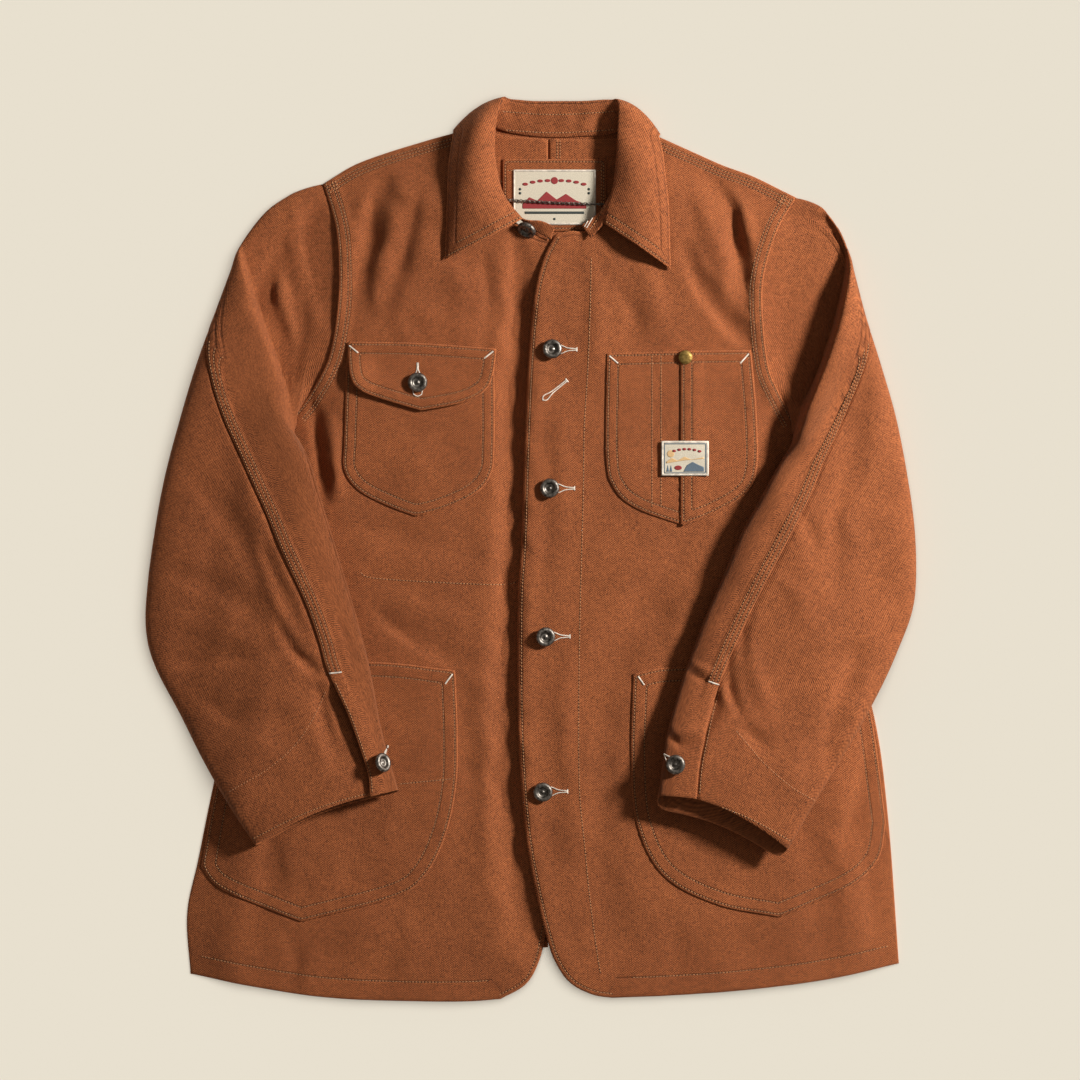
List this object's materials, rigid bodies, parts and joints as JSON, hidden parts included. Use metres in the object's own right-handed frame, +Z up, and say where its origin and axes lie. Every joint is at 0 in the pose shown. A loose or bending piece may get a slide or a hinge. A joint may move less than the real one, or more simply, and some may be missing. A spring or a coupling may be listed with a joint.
{
  "type": "chore jacket",
  "caption": "Canvas chore jacket lying flat and buttoned, sleeves laid over the fronts, with patch pockets and a turned-down collar.",
  "frame": {"origin": "on the surface that the jacket lies on, under the middle of its outline", "axes": "+X towards the wearer's left, +Y towards the collar, +Z up from the surface, out of the fronts"},
  "size_m": [0.6681, 0.7876, 0.0333],
  "materials": {
    "canvas": "rust-brown cotton duck canvas, matt, tone-on-tone stitching",
    "woven_label": null,
    "thread": "off-white cotton thread of the bar tacks and buttonholes",
    "nickel": "antique nickel, worn bright on its rims",
    "brass": "dull brass"
  },
  "bodies": {
    "root": {"back_right": "canvas", "back_left": "canvas", "front_right": "canvas", "front_left": "canvas", "sleeve_right_top": "canvas", "sleeve_right_under": "canvas", "sleeve_left_top": "canvas", "sleeve_left_under": "canvas", "collar_stand": "canvas", "collar_fall": "canvas", "neck_patch": "canvas", "pocket_chest_right": "canvas", "flap_chest_right": "canvas", "pocket_chest_left_inner": "canvas", "pocket_chest_left_outer": "canvas", "pocket_lower_right": "canvas", "pocket_lower_left": "canvas", "neck_label": "woven_label", "pocket_label": "woven_label", "hanger_chain": "nickel", "button_front_1": "nickel", "button_front_2": "nickel", "button_front_3": "nickel", "button_front_4": "nickel", "button_flap": "nickel", "button_cuff_right": "nickel", "button_cuff_left": "nickel", "button_collar": "nickel", "pocket_snap": "brass"}
  },
  "joints": []
}
